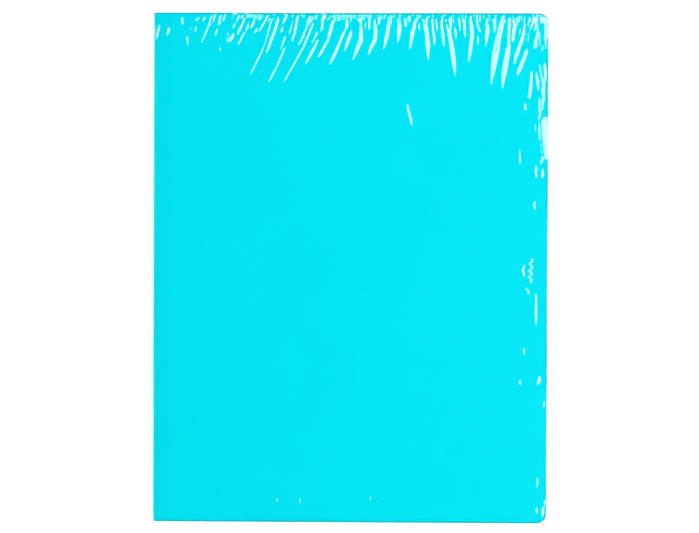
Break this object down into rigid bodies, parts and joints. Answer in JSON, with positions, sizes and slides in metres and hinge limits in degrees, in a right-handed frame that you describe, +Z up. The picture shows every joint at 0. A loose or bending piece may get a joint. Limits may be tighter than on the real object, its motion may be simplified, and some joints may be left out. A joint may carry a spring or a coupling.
{
  "type": "display book file folder",
  "caption": "A4 display book: clear top-opening pockets bound into a creased plastic cover that opens flat about its spine, in a clear shrink-wrap film.",
  "frame": {"origin": "middle of the footprint, on the surface that the closed book lies on", "axes": "+X from the spine to the fore edge, +Y to the head of the book where the pockets open, +Z up through the closed book from the back cover to the front cover"},
  "size_m": [0.2416, 0.3116, 0.0136],
  "materials": {
    "cover": "bright cyan polypropylene sheet with a fine satin grain",
    "binding_core": "welded layers of clear film, milky",
    "pocket": "clear polypropylene film, smooth",
    "film": "clear glossy shrink film, wrinkled at the head and the fore edge"
  },
  "bodies": {
    "back": {"cover_back": "cover", "film_back_panel": "film", "film_back_edge": "film"},
    "spine": {"cover_spine": "cover", "binding_core": "binding_core", "film_spine": "film"},
    "front": {"cover_front": "cover", "film_front_panel": "film", "film_front_edge": "film"},
    "pocket_01": {"pocket_01": "pocket"},
    "pocket_02": {"pocket_02": "pocket"},
    "pocket_03": {"pocket_03": "pocket"},
    "pocket_04": {"pocket_04": "pocket"},
    "pocket_05": {"pocket_05": "pocket"},
    "pocket_06": {"pocket_06": "pocket"},
    "pocket_07": {"pocket_07": "pocket"},
    "pocket_08": {"pocket_08": "pocket"},
    "pocket_09": {"pocket_09": "pocket"},
    "pocket_10": {"pocket_10": "pocket"},
    "pocket_11": {"pocket_11": "pocket"},
    "pocket_12": {"pocket_12": "pocket"},
    "pocket_13": {"pocket_13": "pocket"},
    "pocket_14": {"pocket_14": "pocket"},
    "pocket_15": {"pocket_15": "pocket"},
    "pocket_16": {"pocket_16": "pocket"},
    "pocket_17": {"pocket_17": "pocket"},
    "pocket_18": {"pocket_18": "pocket"},
    "pocket_19": {"pocket_19": "pocket"},
    "pocket_20": {"pocket_20": "pocket"}
  },
  "joints": [
    {"name": "spine_hinge", "type": "hinge", "parent": "back", "child": "spine", "pos_m": [-0.11965, 0, 0.00115], "axis": [0, -1, 0], "range_deg": [0, 90]},
    {"name": "front_cover_hinge", "type": "hinge", "parent": "spine", "child": "front", "pos_m": [-0.11965, 0, 0.01245], "axis": [0, -1, 0], "range_deg": [0, 90]},
    {"name": "pocket_01_fold", "type": "hinge", "parent": "spine", "child": "pocket_01", "pos_m": [-0.11844, 0, 0.00205], "axis": [0, -1, 0], "range_deg": [-90, 0]},
    {"name": "pocket_02_fold", "type": "hinge", "parent": "spine", "child": "pocket_02", "pos_m": [-0.11794, 0, 0.00255], "axis": [0, -1, 0], "range_deg": [-90, 0]},
    {"name": "pocket_03_fold", "type": "hinge", "parent": "spine", "child": "pocket_03", "pos_m": [-0.11744, 0, 0.00305], "axis": [0, -1, 0], "range_deg": [-90, 0]},
    {"name": "pocket_04_fold", "type": "hinge", "parent": "spine", "child": "pocket_04", "pos_m": [-0.11694, 0, 0.00355], "axis": [0, -1, 0], "range_deg": [-90, 0]},
    {"name": "pocket_05_fold", "type": "hinge", "parent": "spine", "child": "pocket_05", "pos_m": [-0.11644, 0, 0.00405], "axis": [0, -1, 0], "range_deg": [-90, 0]},
    {"name": "pocket_06_fold", "type": "hinge", "parent": "spine", "child": "pocket_06", "pos_m": [-0.11594, 0, 0.00455], "axis": [0, -1, 0], "range_deg": [-90, 0]},
    {"name": "pocket_07_fold", "type": "hinge", "parent": "spine", "child": "pocket_07", "pos_m": [-0.11544, 0, 0.00505], "axis": [0, -1, 0], "range_deg": [-90, 0]},
    {"name": "pocket_08_fold", "type": "hinge", "parent": "spine", "child": "pocket_08", "pos_m": [-0.11494, 0, 0.00555], "axis": [0, -1, 0], "range_deg": [-90, 0]},
    {"name": "pocket_09_fold", "type": "hinge", "parent": "spine", "child": "pocket_09", "pos_m": [-0.11444, 0, 0.00605], "axis": [0, -1, 0], "range_deg": [-90, 0]},
    {"name": "pocket_10_fold", "type": "hinge", "parent": "spine", "child": "pocket_10", "pos_m": [-0.11394, 0, 0.00655], "axis": [0, -1, 0], "range_deg": [-90, 0]},
    {"name": "pocket_11_fold", "type": "hinge", "parent": "spine", "child": "pocket_11", "pos_m": [-0.11394, 0, 0.00705], "axis": [0, -1, 0], "range_deg": [0, 90]},
    {"name": "pocket_12_fold", "type": "hinge", "parent": "spine", "child": "pocket_12", "pos_m": [-0.11444, 0, 0.00755], "axis": [0, -1, 0], "range_deg": [0, 90]},
    {"name": "pocket_13_fold", "type": "hinge", "parent": "spine", "child": "pocket_13", "pos_m": [-0.11494, 0, 0.00805], "axis": [0, -1, 0], "range_deg": [0, 90]},
    {"name": "pocket_14_fold", "type": "hinge", "parent": "spine", "child": "pocket_14", "pos_m": [-0.11544, 0, 0.00855], "axis": [0, -1, 0], "range_deg": [0, 90]},
    {"name": "pocket_15_fold", "type": "hinge", "parent": "spine", "child": "pocket_15", "pos_m": [-0.11594, 0, 0.00905], "axis": [0, -1, 0], "range_deg": [0, 90]},
    {"name": "pocket_16_fold", "type": "hinge", "parent": "spine", "child": "pocket_16", "pos_m": [-0.11644, 0, 0.00955], "axis": [0, -1, 0], "range_deg": [0, 90]},
    {"name": "pocket_17_fold", "type": "hinge", "parent": "spine", "child": "pocket_17", "pos_m": [-0.11694, 0, 0.01005], "axis": [0, -1, 0], "range_deg": [0, 90]},
    {"name": "pocket_18_fold", "type": "hinge", "parent": "spine", "child": "pocket_18", "pos_m": [-0.11744, 0, 0.01055], "axis": [0, -1, 0], "range_deg": [0, 90]},
    {"name": "pocket_19_fold", "type": "hinge", "parent": "spine", "child": "pocket_19", "pos_m": [-0.11794, 0, 0.01105], "axis": [0, -1, 0], "range_deg": [0, 90]},
    {"name": "pocket_20_fold", "type": "hinge", "parent": "spine", "child": "pocket_20", "pos_m": [-0.11844, 0, 0.01155], "axis": [0, -1, 0], "range_deg": [0, 90]}
  ],
  "couplings": [
    {"joint": "pocket_01_fold", "follows": "spine_hinge", "ratio": -1},
    {"joint": "pocket_02_fold", "follows": "spine_hinge", "ratio": -1},
    {"joint": "pocket_03_fold", "follows": "spine_hinge", "ratio": -1},
    {"joint": "pocket_04_fold", "follows": "spine_hinge", "ratio": -1},
    {"joint": "pocket_05_fold", "follows": "spine_hinge", "ratio": -1},
    {"joint": "pocket_06_fold", "follows": "spine_hinge", "ratio": -1},
    {"joint": "pocket_07_fold", "follows": "spine_hinge", "ratio": -1},
    {"joint": "pocket_08_fold", "follows": "spine_hinge", "ratio": -1},
    {"joint": "pocket_09_fold", "follows": "spine_hinge", "ratio": -1},
    {"joint": "pocket_10_fold", "follows": "spine_hinge", "ratio": -1},
    {"joint": "pocket_11_fold", "follows": "front_cover_hinge", "ratio": 1},
    {"joint": "pocket_12_fold", "follows": "front_cover_hinge", "ratio": 1},
    {"joint": "pocket_13_fold", "follows": "front_cover_hinge", "ratio": 1},
    {"joint": "pocket_14_fold", "follows": "front_cover_hinge", "ratio": 1},
    {"joint": "pocket_15_fold", "follows": "front_cover_hinge", "ratio": 1},
    {"joint": "pocket_16_fold", "follows": "front_cover_hinge", "ratio": 1},
    {"joint": "pocket_17_fold", "follows": "front_cover_hinge", "ratio": 1},
    {"joint": "pocket_18_fold", "follows": "front_cover_hinge", "ratio": 1},
    {"joint": "pocket_19_fold", "follows": "front_cover_hinge", "ratio": 1},
    {"joint": "pocket_20_fold", "follows": "front_cover_hinge", "ratio": 1}
  ]
}
